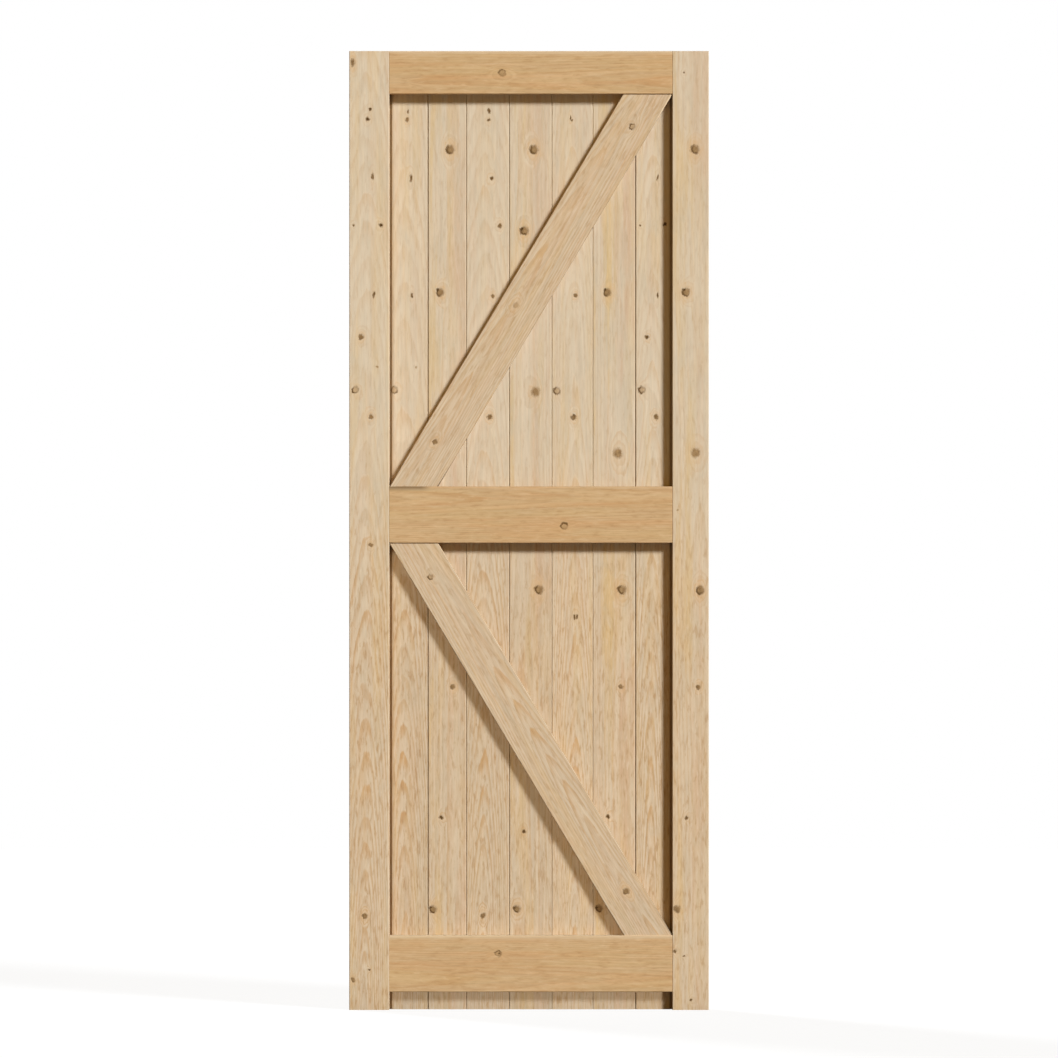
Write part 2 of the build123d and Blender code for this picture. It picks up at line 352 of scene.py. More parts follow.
# arrises that are worn and given a painted highlight, a sapwood band along one edge that is partly a painted
# highlight, and sawn ends, from the timber's own sizes and the way a face looks
# arris sizes are in mm, sap sizes are shares of the sapwood's width
edgeLook = dict(
    wear=dict(stretch=(90.0, 90.0, 14.0), detail=2.0), arrisLeast=0.8, arrisRange=5.0,
    sapLeast=0.2, sapRange=1.6,
    saw=dict(stretch=(60.0, 900.0, 400.0), detail=2.0), endFacing=(0.75, 0.95))


def makeEdgesAndEnds():
    look = edgeLook
    group, given, result = newGroup(
        "edgesAndEnds",
        [("Local", "Vector", (0, 0, 0)), ("Half Width", "Float", 40 * mm), ("Half Depth", "Float", 20 * mm),
         ("Axis", "Vector", (0, 0, 1)), ("Seed", "Vector", (0, 0, 0)), ("Sap Side", "Float", -1.0),
         ("Sap Width", "Float", 10 * mm)],
        [("Arris", "Float"), ("Sapwood", "Float"), ("Sawn End", "Float"), ("Saw Marks", "Float")])
    across, depth = split(group, given["Local"])[:2]
    shifted = vectors(group, "ADD", given["Local"], given["Seed"])
    wear = mottle(group, shifted, **look["wear"])[0]
    fromSide = sums(group, "SUBTRACT", given["Half Width"], sums(group, "ABSOLUTE", across))
    fromFace = sums(group, "SUBTRACT", given["Half Depth"], sums(group, "ABSOLUTE", depth))
    reach = scaled(group, wear, look["arrisRange"] * mm, look["arrisLeast"] * mm)
    arris = fade(group, fromSide, 0.0, reach, 1.0, 0.0)
    arris = times(group, arris, fade(group, fromFace, 0.0, reach, 1.0, 0.0))
    fromSapSide = sums(group, "SUBTRACT", given["Half Width"], times(group, across, given["Sap Side"]))
    sapEnd = times(group, given["Sap Width"], scaled(group, wear, look["sapRange"], look["sapLeast"]))
    geometry = group.nodes.new("ShaderNodeNewGeometry")
    facing = sums(group, "ABSOLUTE", vectors(group, "DOT_PRODUCT", geometry.outputs["Normal"], given["Axis"]))
    join(group, arris, result["Arris"])
    join(group, fade(group, fromSapSide, 0.0, sapEnd, 1.0, 0.0), result["Sapwood"])
    join(group, fade(group, facing, *look["endFacing"]), result["Sawn End"])
    join(group, mottle(group, shifted, **look["saw"])[0], result["Saw Marks"])
    return group


knotStep = makeKnotStep()
growthRings = makeGrowthRings()
fibre = makeFibre()
knotLook = makeKnotLook()
edgesAndEnds = makeEdgesAndEnds()
print("wood node groups made")

# each kind: mm across and along the grain, then how strong its heart, bark ring and stain are,
# then the mm that it is sunk and the groove round it
knotKinds = {
    "pin": dict(wide=8.6, tall=8.8, heart=0.88, rim=0.40, stain=0.28, sunk=0.5, groove=0.2),
    "spot": dict(wide=8.4, tall=9.4, heart=1.00, rim=0.80, stain=0.20, sunk=0.8, groove=0.2),
    "speck": dict(wide=6.4, tall=5.8, heart=0.82, rim=0.20, stain=0.12, sunk=0.4, groove=0.0),
    "fleck": dict(wide=5.2, tall=5.6, heart=0.34, rim=0.10, stain=0.0, sunk=0.1, groove=0.0),
    "nick": dict(wide=4.8, tall=11.5, heart=0.74, rim=0.20, stain=0.16, sunk=0.7, groove=0.0),
    "slit": dict(wide=4.8, tall=18.0, heart=0.76, rim=0.25, stain=0.14, sunk=0.8, groove=0.0),
    "tear": dict(wide=9.0, tall=17.0, heart=0.64, rim=0.45, stain=0.70, sunk=0.3, groove=0.2),
    "smudge": dict(wide=11.0, tall=11.5, heart=0.50, rim=0.62, stain=0.50, sunk=0.2, groove=0.2),
    "ring": dict(wide=13.5, tall=14.5, heart=0.22, rim=1.00, stain=0.24, sunk=0.1, groove=0.3),
    "round": dict(wide=16.5, tall=17.5, heart=0.44, rim=0.95, stain=0.66, sunk=0.1, groove=0.3),
    "dark": dict(wide=14.5, tall=15.5, heart=0.46, rim=1.00, stain=0.50, sunk=0.2, groove=0.4),
    "brown": dict(wide=20.5, tall=22.0, heart=0.42, rim=0.14, stain=0.34, sunk=0.1, groove=0.2),
    "worn": dict(wide=13.5, tall=14.0, heart=0.26, rim=0.80, stain=0.30, sunk=0.1, groove=0.2),
    "faint": dict(wide=12.0, tall=13.0, heart=0.20, rim=0.30, stain=0.40, sunk=0.0, groove=0.1),
}

paleTones = dict(
    early=tint(222, 202, 174), late=tint(196, 154, 105), rosy=tint(214, 183, 151), straw=tint(219, 189, 142),
    dash=tint(186, 146, 100), pale=tint(228, 210, 184), cool=tint(207, 190, 164), sapAndHighlight=tint(232, 214, 186),
    tip=tint(208, 162, 102), lower=(0.905, 0.855, 0.800))
honeyTones = dict(
    early=tint(210, 174, 129), late=tint(188, 144, 96), rosy=tint(206, 158, 109), straw=tint(206, 172, 121),
    dash=tint(180, 136, 88), pale=tint(220, 188, 146), cool=tint(203, 170, 126), sapAndHighlight=tint(226, 203, 168),
    tip=tint(200, 146, 86), lower=(1.0, 1.0, 1.0))

# what the timbers of one stock share, with lengths in mm
# the two amounts of rings and dashes are above and below the change of tone at lowerFrom
# the two long sides are darkened with painted shade: how dark that is, and how far in from the edge it starts
# the painted shadow under a timber standing on the upper edge: its stretch along that edge, and how dark it
# is
paleStock = dict(
    slot="pale_pine", tones=paleTones, turn=0, width=0, tongues=(0, 0),
    light=1.0, lowerFrom=1250, lowerLight=1.03, rings=(0.34, 0.74), dashes=(0.24, 0.66),
    tips=0.56, tipsAt=510, straw=0.44, rosy=0.30, blotch=0.40, lines=0.24, banded=False,
    arris=0.35, sides=(), sideShadeTone=tint(148, 118, 82), foot=1.0, castShadow=(),
    ring=3.0, wander=20, sapAndHighlight=0.0, sapSide=-1, sapWidth=10)
bandedStock = dict(
    paleStock, rings=(0.36, 0.52), dashes=(0.26, 0.55), tips=0.30, straw=0.62, rosy=0.60, banded=True,
    light=0.985, ring=3.8, wander=16)
# painted shade on one long side of the braces, where the lamps light it
braceStock = dict(
    paleStock, width=89, rings=(0.58, 0.58), dashes=(0.44, 0.44), tips=0.55, tipsAt=60, straw=0.45, rosy=0.35,
    blotch=0.30, lines=0.36, arris=0.05, sides=((0.0, 1), (0.80, 0.8)), sideShadeTone=tint(126, 103, 74), ring=4.1)
# painted shade on the upper side of the rail and ledges, which the lamps light from above
honeyStock = dict(
    paleStock, slot="honey_pine", tones=honeyTones, turn=90, rings=(0.72, 0.72), dashes=(0.42, 0.42),
    lowerLight=1.0, straw=0.40, rosy=0.55, blotch=0.30, arris=0.0, sides=((0.80, 1.1), (0.0, 1)),
    # the pale upper band is sapwood tone and partly a painted highlight
    sideShadeTone=tint(110, 88, 61), ring=3.2, wander=16, sapAndHighlight=0.55, sapWidth=12)
# painted shade along both edges of every board, in the seams
boardEdges = dict(sides=((0.12, 1.5), (0.12, 1.5)), foot=0.93, tongues=(0, 7))
paleBoard = dict(paleStock, **boardEdges)
bandedBoard = dict(bandedStock, **boardEdges)


def knotSizes(piece):  # what each knot looks like, its place and its half sizes
    for name, across, along, *size in piece["knots"]:
        look = knotKinds[name]
        scale = mm / 2 * (size[0] if size else 1.0)
        yield look, across * mm, along * mm, look["wide"] * scale, look["tall"] * scale


# how the tones, knots, edges and sawn ends of a pine timber come together, with lengths in mm
pineFinish = dict(
    seedSteps=(3.17, 1.93, 5.71), knotBend=dict(stretch=(150.0, 150.0, 90.0), detail=2.0), knotBendBy=9,
    throughKnot=1000.0, toneRun=500, tipsRange=(50, 130), tipsBeyond=0.2,
    bandStreak=30, bandRange=(10, 32), strawLeft=1.2, strawRight=0.5, rosyLeft=0.3, rosyRight=1.3,
    fineLight=0.20, ringLight=0.05, fleck=0.22, rubbedHighlight=tint(234, 214, 182), sideEnd=0.2,
    castShadowDepth=13, castShadowStart=10, castShadowEnd=30, footHeight=70, endLight=0.66, sawLight=0.26,
    rough=0.66, lateRough=-0.14, streakRough=0.12, knotRough=-0.16, endRough=0.16,
    lateHeight=0.35, streakHeight=0.55, fineHeight=0.25, sawHeight=0.8, relief=0.45, depth=0.4, gloss=0.10)


def knotsIn(tree, piece, local):  # walks the knots and keeps the nearest at each point
    bendBy = pineFinish["knotBendBy"] * mm
    bent = mottle(tree, local, **pineFinish["knotBend"])[1]
    bent = vectors(tree, "SUBTRACT", bent, (0.5, 0.5, 0.5))
    bent = vectors(tree, "MULTIPLY_ADD", bent, (bendBy, 0.0, bendBy), local)
    near, reach, side, kind = knotForm["far"], knotForm["far"], 0.0, (0, 0, 0)
    for look, across, along, halfWide, halfTall in knotSizes(piece):
        step = place(tree, knotStep, {
            "Local": bent, "Centre": (across, 0, along),
            "Size": (halfWide, pineFinish["throughKnot"], halfTall),
            "Look": (look["heart"], look["rim"], look["stain"]),
            "Near": near, "Reach": reach, "Side": side, "Kind": kind})
        near, reach, side, kind = step["Near"], step["Reach"], step["Side"], step["Kind"]
    return near, reach, side, kind


def plainWood(tree, piece, across, along, rings, threads, edges):  # the wood's colour without its knots
    tones, finish = piece["tones"], pineFinish
    lowerFrom = piece["lowerFrom"] * mm
    lower = fade(tree, along, lowerFrom, lowerFrom - finish["toneRun"] * mm)
    upperRings, lowerRings = piece["rings"]
    upperDashes, lowerDashes = piece["dashes"]
    ringShare = scaled(tree, lower, lowerRings - upperRings, upperRings)
    dashShare = scaled(tree, lower, lowerDashes - upperDashes, upperDashes)
    colour = mix(tree, times(tree, rings["Late Wood"], ringShare), tones["early"], tones["late"])
    fromTips = sums(tree, "ABSOLUTE", sums(tree, "SUBTRACT", along, piece["tipsAt"] * mm))
    tipsFull, tipsLeast = finish["tipsRange"]
    tips = piece["tips"]
    tipShare = fade(tree, fromTips, tipsFull * mm, tipsLeast * mm, tips, tips * finish["tipsBeyond"])
    colour = mix(tree, times(tree, rings["Arch Tip"], tipShare), colour, tones["tip"])
    straw = times(tree, threads["Straw"], piece["straw"])
    rosy = times(tree, threads["Rosy"], piece["rosy"])
    if piece["banded"]:  # straw on the left of the timber, rosy on the right
        bandFrom, bandTo = finish["bandRange"]
        right = scaled(tree, threads["Streak"], finish["bandStreak"] * mm, across)
        right = fade(tree, right, bandFrom * mm, bandTo * mm)
        strawLeft, rosyLeft = finish["strawLeft"], finish["rosyLeft"]
        straw = times(tree, straw, scaled(tree, right, finish["strawRight"] - strawLeft, strawLeft))
        rosy = times(tree, rosy, scaled(tree, right, finish["rosyRight"] - rosyLeft, rosyLeft))
    colour = mix(tree, straw, colour, tones["straw"])
    colour = mix(tree, rosy, colour, tones["rosy"])
    colour = mix(tree, times(tree, threads["Blotch"], piece["blotch"]), colour, tones["cool"])
    colour = mix(tree, times(tree, threads["Dark Dash"], dashShare), colour, tones["dash"])
    colour = mix(tree, times(tree, threads["Pale Dash"], dashShare), colour, tones["pale"])
    light = piece["light"]
    for value, strength in ((threads["Streak"], piece["lines"]), (threads["Fine"], finish["fineLight"]),
                            (rings["Ring Tone"], finish["ringLight"])):
        light = times(tree, scaled(tree, value, strength, 1.0 - strength / 2), light)
    colour = shade(tree, colour, light)
    lowerTone = tuple(part * piece["lowerLight"] for part in tones["lower"]) + (1.0,)
    colour = mix(tree, lower, colour, mix(tree, 1.0, colour, lowerTone, "MULTIPLY"))
    # a pale band along one edge: sapwood tone, and on the rails and ledges partly a painted highlight along
    # the upper edge
    colour = mix(tree, times(tree, edges["Sapwood"], piece["sapAndHighlight"]), colour, tones["sapAndHighlight"])
    return mix(tree, times(tree, threads["Fleck"], finish["fleck"]), colour, tones["late"])


# worn arrises with a painted highlight, painted shade along the sides and under timbers standing on the upper
# edge, a darker foot and sawn ends over the finished wood
def shadeHighlightAndEnds(tree, piece, colour, across, along, halfWidth, edges):
    finish = pineFinish
    sideEnd = halfWidth + finish["sideEnd"] * mm
    # arrises lightened: partly edge wear, partly a painted highlight
    colour = mix(tree, times(tree, edges["Arris"], piece["arris"]), colour, finish["rubbedHighlight"])
    for way, (share, inFrom) in zip((-1.0, 1.0), piece["sides"]):  # painted shade along the long sides: in seams and gaps, beside the stiles, and on faces that catch the lamps
        edgeShade = fade(tree, times(tree, across, way), halfWidth - inFrom * mm, sideEnd)
        colour = mix(tree, times(tree, edgeShade, share), colour, piece["sideShadeTone"])
    for start, end, share in piece["castShadow"]:  # painted shadow below where another timber stands on the upper edge
        castShadow = fade(tree, across, finish["castShadowDepth"] * mm - halfWidth, -halfWidth, 0.0, share)
        fullFrom, fullTo = start + finish["castShadowStart"], end - finish["castShadowEnd"]
        castShadow = times(tree, castShadow, hump(tree, along, (start * mm, fullFrom * mm), (fullTo * mm, end * mm)))
        colour = mix(tree, castShadow, colour, piece["sideShadeTone"])
    colour = shade(tree, colour, fade(tree, along, 0.0, finish["footHeight"] * mm, piece["foot"], 1.0))
    endColour = shade(tree, colour, scaled(tree, edges["Saw Marks"], finish["sawLight"], finish["endLight"]))
    return mix(tree, edges["Sawn End"], colour, endColour)


def pineMaterial(piece, centre, halfWidth, halfDepth, turn):
    material, tree = newMaterial(piece["node"] + "_pine")
    finish = pineFinish
    seed = tuple(piece["seed"] * step for step in finish["seedSteps"])
    where = tree.nodes.new("ShaderNodeTexCoord")
    turned = tree.nodes.new("ShaderNodeMapping")
    turned.vector_type = "TEXTURE"
    turned.inputs["Location"].default_value = centre
    turned.inputs["Rotation"].default_value = (0, turn, 0)
    tree.links.new(where.outputs["Object"], turned.inputs["Vector"])
    local = turned.outputs[0]
    across, along = split(tree, local)[::2]
    near, reach, knotSide, kind = knotsIn(tree, piece, local)
    rings = place(tree, growthRings, {
        "Local": local, "Pith": (piece["pith"][0] * mm, piece["pith"][1] * mm, 0),
        "Lean": (piece["lean"][0] * mm, piece["lean"][1] * mm, 0), "Ring Width": piece["ring"] * mm,
        "Wander": piece["wander"] * mm, "Seed": seed, "Reach": reach, "Swell": split(tree, kind)[2]})
    threads = place(tree, fibre, {"Local": local, "Seed": seed})
    edges = place(tree, edgesAndEnds, {
        "Local": local, "Half Width": halfWidth, "Half Depth": halfDepth,
        "Axis": (math.sin(turn), 0, math.cos(turn)), "Seed": seed,
        "Sap Side": piece["sapSide"], "Sap Width": piece["sapWidth"] * mm})
    knots = place(tree, knotLook, {
        "Wood": plainWood(tree, piece, across, along, rings, threads, edges), "Local": local,
        "Near": near, "Reach": reach, "Side": knotSide, "Kind": kind})
    colour = shadeHighlightAndEnds(tree, piece, knots["Color"], across, along, halfWidth, edges)

    rough = scaled(tree, rings["Late Wood"], finish["lateRough"], finish["rough"])
    rough = scaled(tree, threads["Streak"], finish["streakRough"], rough)
    rough = scaled(tree, knots["Knot"], finish["knotRough"], rough)
    rough = scaled(tree, edges["Sawn End"], finish["endRough"], rough)
    height = times(tree, threads["Streak"], finish["streakHeight"])
    height = scaled(tree, rings["Late Wood"], finish["lateHeight"], height)
    height = scaled(tree, threads["Fine"], finish["fineHeight"], height)
    height = sums(tree, "ADD", height, knots["Height"])
    sawnEnd = times(tree, edges["Saw Marks"], edges["Sawn End"])
    height = scaled(tree, sawnEnd, finish["sawHeight"], height)
    skin = makeSkin(tree, colour, rough, height, finish["relief"], finish["depth"])
    skin.inputs["Specular IOR Level"].default_value = finish["gloss"]
    return material


# cuts round a knot and the reach of its hollow and groove, as shares of its half size
carving = dict(
    reach=1.7, cuts=(-1.4, -1.18, -1.02, -0.86, -0.62, -0.35, -0.1, 0.1, 0.35, 0.62, 0.86, 1.02, 1.18, 1.4),
    hollow=(0.25, 1.1), grooveIn=(0.62, 0.95), grooveOut=(0.95, 1.35), end=1.4)
meshing = dict(weld=1e-6, slack=1e-6, cut=1e-7, flatAngle=0.3, faceOn=0.999, flatFace=0.9999)


def eased(value, low, high):
    value = min(max((value - low) / (high - low), 0.0), 1.0)
    return value * value * (3 - 2 * value)


def cutAcross(timber, parts, axis, station):  # cuts the given parts with a plane square to an axis
    point, normal = Vector(), Vector()
    point[axis], normal[axis] = station, 1.0
    cut = bmesh.ops.bisect_plane(timber, geom=parts, dist=meshing["cut"], plane_co=point, plane_no=normal)
    return cut["geom"]


def everyPart(faces):
    edges = {edge for face in faces for edge in face.edges}
    corners = {corner for face in faces for corner in face.verts}
    inOrder = sorted(corners, key=lambda part: part.index) + sorted(edges, key=lambda part: part.index)
    return inOrder + list(faces)


def cutRoundKnots(timber, hollows, halfDepth):  # adds the vertices that the hollows need, on both faces
    slack = meshing["slack"]
    for _, across, along, halfWide, halfTall in hollows:
        low, high = along - carving["reach"] * halfTall, along + carving["reach"] * halfTall
        for station in (low, high):
            cutAcross(timber, timber.verts[:] + timber.edges[:] + timber.faces[:], 2, station)
        timber.normal_update()
        timber.verts.index_update()
        timber.edges.index_update()
        band = [face for face in timber.faces
                if abs(face.normal.y) > meshing["faceOn"] and abs(abs(face.verts[0].co.y) - halfDepth) < slack
                and all(low - slack <= corner.co.z <= high + slack for corner in face.verts)]
        parts = everyPart(band)
        for share in (-carving["reach"],) + carving["cuts"] + (carving["reach"],):
            parts = cutAcross(timber, parts, 0, across + share * halfWide)
        for share in carving["cuts"]:
            parts = cutAcross(timber, parts, 2, along + share * halfTall)


def sinkKnots(timber, hollows, halfDepth):  # gives back the corners that it moved
    carved = set()
    for corner in timber.verts:
        if abs(abs(corner.co.y) - halfDepth) > meshing["slack"]:
            continue
        drop = 0.0
        for look, across, along, halfWide, halfTall in hollows:
            near = math.hypot((corner.co.x - across) / halfWide, (corner.co.z - along) / halfTall)
            if near < carving["end"]:
                hollow = look["sunk"] * mm * (1 - eased(near, *carving["hollow"]))
                groove = eased(near, *carving["grooveIn"]) * (1 - eased(near, *carving["grooveOut"]))
                drop = max(drop, hollow + look["groove"] * mm * groove)
        if drop > 0:
            corner.co.y -= math.copysign(drop, corner.co.y)
            carved.add(corner)
    return carved


def carveKnots(piece, toWorld, halfDepth):  # a copy of the timber with its knots sunk into both faces
    timber = bmesh.new()
    timber.from_mesh(leafNodes[piece["node"]].data)
    bmesh.ops.remove_doubles(timber, verts=timber.verts, dist=meshing["weld"])
    flatAngle = math.radians(meshing["flatAngle"])
    bmesh.ops.dissolve_limit(timber, angle_limit=flatAngle, verts=timber.verts, edges=timber.edges)
    timber.transform(toWorld.inverted())
    hollows = list(knotSizes(piece))
    cutRoundKnots(timber, hollows, halfDepth)
    carved = sinkKnots(timber, hollows, halfDepth)
    timber.normal_update()
    for face in timber.faces:
        squareOn = max(abs(part) for part in face.normal) > meshing["flatFace"]
        face.smooth = not (squareOn and carved.isdisjoint(face.verts))
    timber.transform(toWorld)
    shape = bpy.data.meshes.new(piece["node"] + "_timber")
    timber.to_mesh(shape)
    timber.free()
    return shape


def dressTimber(piece):
    low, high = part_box(piece["node"])
    low.x += piece["tongues"][0] * mm
    high.x -= piece["tongues"][1] * mm
    centre, half = (low + high) / 2, (high - low) / 2
    turn = math.radians(piece["turn"])
    if piece["turn"] == 0:
        centre.z = 0  # heights are measured from the foot of the leaf
    halfWidth = piece["width"] * mm / 2 or (half.z if piece["turn"] == 90 else half.x)
    toWorld = Matrix.Translation(centre) @ Matrix.Rotation(turn, 4, "Y")
    shape = carveKnots(piece, toWorld, half.y)
    shape.materials.append(pineMaterial(piece, centre, halfWidth, half.y, turn))
    timber = bpy.data.objects.new(piece["node"] + "_timber", shape)
    bpy.context.scene.collection.objects.link(timber)
    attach(timber, "root")
    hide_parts(piece["node"])
    print("dressed", piece["node"], "with", len(piece["knots"]), "knots,", len(shape.polygons), "faces")


# knots are given as kind, mm across from the timber's middle line, mm along the grain,
# and a size where it isn't the usual one
leftStile = dict(
    paleStock, node="left_stile", seed=1, foot=0.975, lowerLight=1.05, straw=0.45,
    pith=(-12, -17), lean=(4, 58), ring=4.1, wander=20,
    knots=[("tear", -35, 2008), ("speck", 2, 1909), ("pin", -3, 1888), ("slit", 8, 1765, 0.85),
           ("speck", -34, 1663, 0.95), ("pin", 25, 1663), ("slit", 10, 1515, 0.85),
           ("smudge", -17, 1426, 0.95), ("fleck", 18, 1363), ("ring", -30, 1314), ("smudge", 4, 1257, 0.9),
           ("smudge", 4, 985, 0.75), ("smudge", -9, 199), ("speck", 0, 85, 0.8), ("smudge", -34, 64, 0.75)])
dressTimber(leftStile)

rightStile = dict(
    bandedStock, node="right_stile", seed=2, foot=0.955, lowerLight=1.10,
    pith=(30, 52), lean=(-9, 6), ring=3.6, wander=18,
    knots=[("speck", -14, 1985, 0.8), ("round", 9, 1824), ("round", -10, 1521, 0.9),
           ("spot", -14.5, 1526, 0.85), ("brown", 11, 1180), ("fleck", -27, 1060), ("round", 20, 890),
           ("smudge", 16, 684, 0.85), ("pin", -8, 407), ("smudge", -28, 214, 1.25), ("pin", -33, 125),
           ("speck", -14, 114, 0.8), ("speck", 1, 21)])
dressTimber(rightStile)

# on the rail and the ledges, across is measured downwards, and along from the leaf's middle to the right
topRail = dict(
    honeyStock, node="top_rail", seed=3, pith=(18, 40), lean=(8, -12),
    knots=[("worn", 1, -57), ("fleck", 2, -55, 1.1)])
dressTimber(topRail)

# the middle ledge has a painted shadow under the upper brace's foot
middleLedge = dict(
    honeyStock, node="middle_ledge", seed=4, sapAndHighlight=0.15, castShadow=((-304, -202, 0.76),),
    pith=(-34, 44), lean=(-8, 12), knots=[("ring", 24, 74)])
dressTimber(middleLedge)

# painted shade, paler than on the other rails, on the bottom ledge's top side
bottomLedge = dict(
    honeyStock, node="bottom_ledge", seed=5, light=1.012,
    sides=((0.85, 0.5), (0.0, 1)), sideShadeTone=tint(158, 145, 126), pith=(34, 46), lean=(7, 12),
    knots=[("worn", -21.5, -66, 0.95), ("speck", -22, -63.5, 0.95)])
dressTimber(bottomLedge)

braceTurn = 30.83  # degrees off upright
# a lighter painted shade on the upper brace's second long side
upperBrace = dict(
    braceStock, node="upper_brace", turn=braceTurn, seed=6,
    sides=((0.0, 1), (0.25, 1.5)), sideShadeTone=tint(138, 114, 86), pith=(-17, 22), lean=(2, 40),
    knots=[("ring", 7, 407, 0.85), ("faint", -11, -43), ("smudge", -9, -380, 0.95)])
dressTimber(upperBrace)

lowerBrace = dict(
    braceStock, node="lower_brace", turn=-braceTurn, seed=7, pith=(14, 24), lean=(2, 40),
    knots=[("ring", -7, 405, 0.75), ("smudge", 8, -380, 1.1)])
dressTimber(lowerBrace)

# board 1 carries a painted shadow of the left stile along its left edge
boardOne = dict(
    paleBoard, node="board_1", seed=8, lowerLight=1.0, sides=((0.55, 8), (0.25, 1.5)), tongues=(11.5, 7),
    pith=(-14, -2), lean=(3, 58), ring=4.1,
    knots=[("nick", -3, 1905, 0.8), ("smudge", -5, 1888, 0.7), ("nick", 3, 1763, 1.35), ("nick", 5, 1515),
           ("fleck", 14, 1363), ("ring", -33, 1314)])
dressTimber(boardOne)

boardTwo = dict(
    bandedBoard, node="board_2", seed=9, lowerLight=1.05, pith=(24, 58), lean=(-8, 5),
    knots=[("round", 6, 1824), ("round", -15, 1521, 0.9), ("spot", -20, 1526, 0.85),
           ("smudge", 12, 684, 0.95), ("pin", -13, 407), ("dark", -30, 212), ("spot", -34, 215, 0.9)])
dressTimber(boardTwo)

boardThree = dict(
    paleBoard, node="board_3", seed=10, straw=0.16, pith=(-12, -5), lean=(4, 58), ring=4.1,
    knots=[("nick", 2, 1907), ("pin", 2, 1887, 0.75), ("pin", 9, 1763, 0.95), ("smudge", 26, 1663, 0.75),
           ("smudge", 11, 1513, 0.7), ("smudge", 4, 1257, 0.9), ("smudge", -10, 199)])
dressTimber(boardThree)

boardFour = dict(
    bandedBoard, node="board_4", seed=11, lowerLight=1.05, pith=(-20, 56), lean=(6, 7),
    knots=[("round", 7, 1824), ("round", -13, 1652, 0.95), ("spot", -18, 1656, 0.85),
           ("brown", 11, 1310, 0.95), ("round", 18, 890), ("pin", -14, 377),
           ("dark", -29, 213, 0.95), ("spot", -33, 215, 0.9)])
dressTimber(boardFour)

boardFive = dict(
    paleBoard, node="board_5", seed=12, lowerLight=1.10, pith=(10, 2), lean=(-4, 38),
    knots=[("nick", -4, 1892, 0.9), ("speck", 0, 1887, 0.9), ("smudge", 7, 1515, 0.7), ("ring", -33, 1312),
           ("smudge", 3, 1256, 0.9), ("speck", 3, 1261), ("nick", 4.5, 832, 1.05), ("nick", 10, 833, 1.0)])
dressTimber(boardFive)

boardSix = dict(
    bandedBoard, node="board_6", seed=13, straw=0.85, rosy=0.85, lowerLight=1.09, pith=(26, 54), lean=(-7, 6),
    knots=[("round", -14, 1521, 0.9), ("spot", -18.5, 1526, 0.85), ("brown", 8, 1180), ("round", 17, 890),
           ("smudge", 15, 684, 0.85), ("pin", -13, 409), ("dark", -31, 214), ("spot", -34, 215, 0.9)])
dressTimber(boardSix)

# board 7 is darker towards the right stile with painted shade
boardSeven = dict(
    paleBoard, node="board_7", seed=14, lowerLight=1.06, sides=((0.12, 1.5), (0.45, 5)), straw=0.45,
    tongues=(0, 11.5), pith=(-8, -2), lean=(5, 40),
    knots=[("slit", 10, 1765, 0.8), ("speck", -28, 1663, 0.95), ("pin", 25, 1666), ("slit", 10, 1515, 0.8),
           ("pin", -13, 1426), ("ring", -24, 1314), ("smudge", 6, 1257, 0.9)])
dressTimber(boardSeven)


def paint(nodes, material):
    for name in nodes:
        leafNodes[name].data.materials.clear()
        leafNodes[name].data.materials.append(material)


# end grain of the wedges, with lengths in mm
tenonWedges = dict(
    nodes=("top_rail_wedges", "middle_ledge_wedges", "bottom_ledge_wedges"),
    early=tint(190, 150, 105), late=tint(140, 98, 56), pith=(300, 50), ring=1.4, wander=4,
    threadSeed=(7.3, 2.1, 4.4), ringSeed=(1.2, 6.6, 0.4), streakLight=(0.5, 0.72), sawLight=(0.3, 0.8),
    rough=(0.2, 0.68), relief=0.5, depth=0.3, gloss=0.10)


def wedgeMaterial(wedges):
    material, tree = newMaterial("wedgeEndGrain")
    x, y, z = split(tree, tree.nodes.new("ShaderNodeTexCoord").outputs["Object"])
    local = gather(tree, z, y, x)  # the wedges' grain runs across the leaf
    threads = place(tree, fibre, {"Local": local, "Seed": wedges["threadSeed"]})
    rings = place(tree, growthRings, {
        "Local": local, "Pith": (wedges["pith"][0] * mm, wedges["pith"][1] * mm, 0),
        "Ring Width": wedges["ring"] * mm, "Wander": wedges["wander"] * mm, "Seed": wedges["ringSeed"]})
    edges = place(tree, edgesAndEnds, {"Local": local, "Axis": (1, 0, 0)})
    colour = mix(tree, rings["Late Wood"], wedges["early"], wedges["late"])
    colour = shade(tree, colour, scaled(tree, threads["Streak"], *wedges["streakLight"]))
    colour = shade(tree, colour, scaled(tree, edges["Saw Marks"], *wedges["sawLight"]))
    rough = scaled(tree, threads["Streak"], *wedges["rough"])
    height = sums(tree, "ADD", rings["Late Wood"], edges["Saw Marks"])
    skin = makeSkin(tree, colour, rough, height, wedges["relief"], wedges["depth"])
    skin.inputs["Specular IOR Level"].default_value = wedges["gloss"]
    return material


paint(tenonWedges["nodes"], wedgeMaterial(tenonWedges))
print("wedges dressed")

# cut nails, with a little rust on the stamped steel
boardNails = dict(
    nodes=("middle_ledge_nails", "bottom_ledge_nails", "upper_brace_nails", "lower_brace_nails"),
    steel=tint(150, 150, 152), rust=tint(112, 74, 48), rustRange=(0.50, 0.64),
    blotch=dict(stretch=(420.0, 420.0, 420.0), detail=3.0, rough=0.6),
    brushed=dict(stretch=(300.0, 300.0, 4200.0), detail=2.0), brushedLight=(0.4, 0.8),
    brushedRough=(0.16, 0.30), rustRough=0.38, rustMetal=-0.75, relief=0.4, depth=0.1)


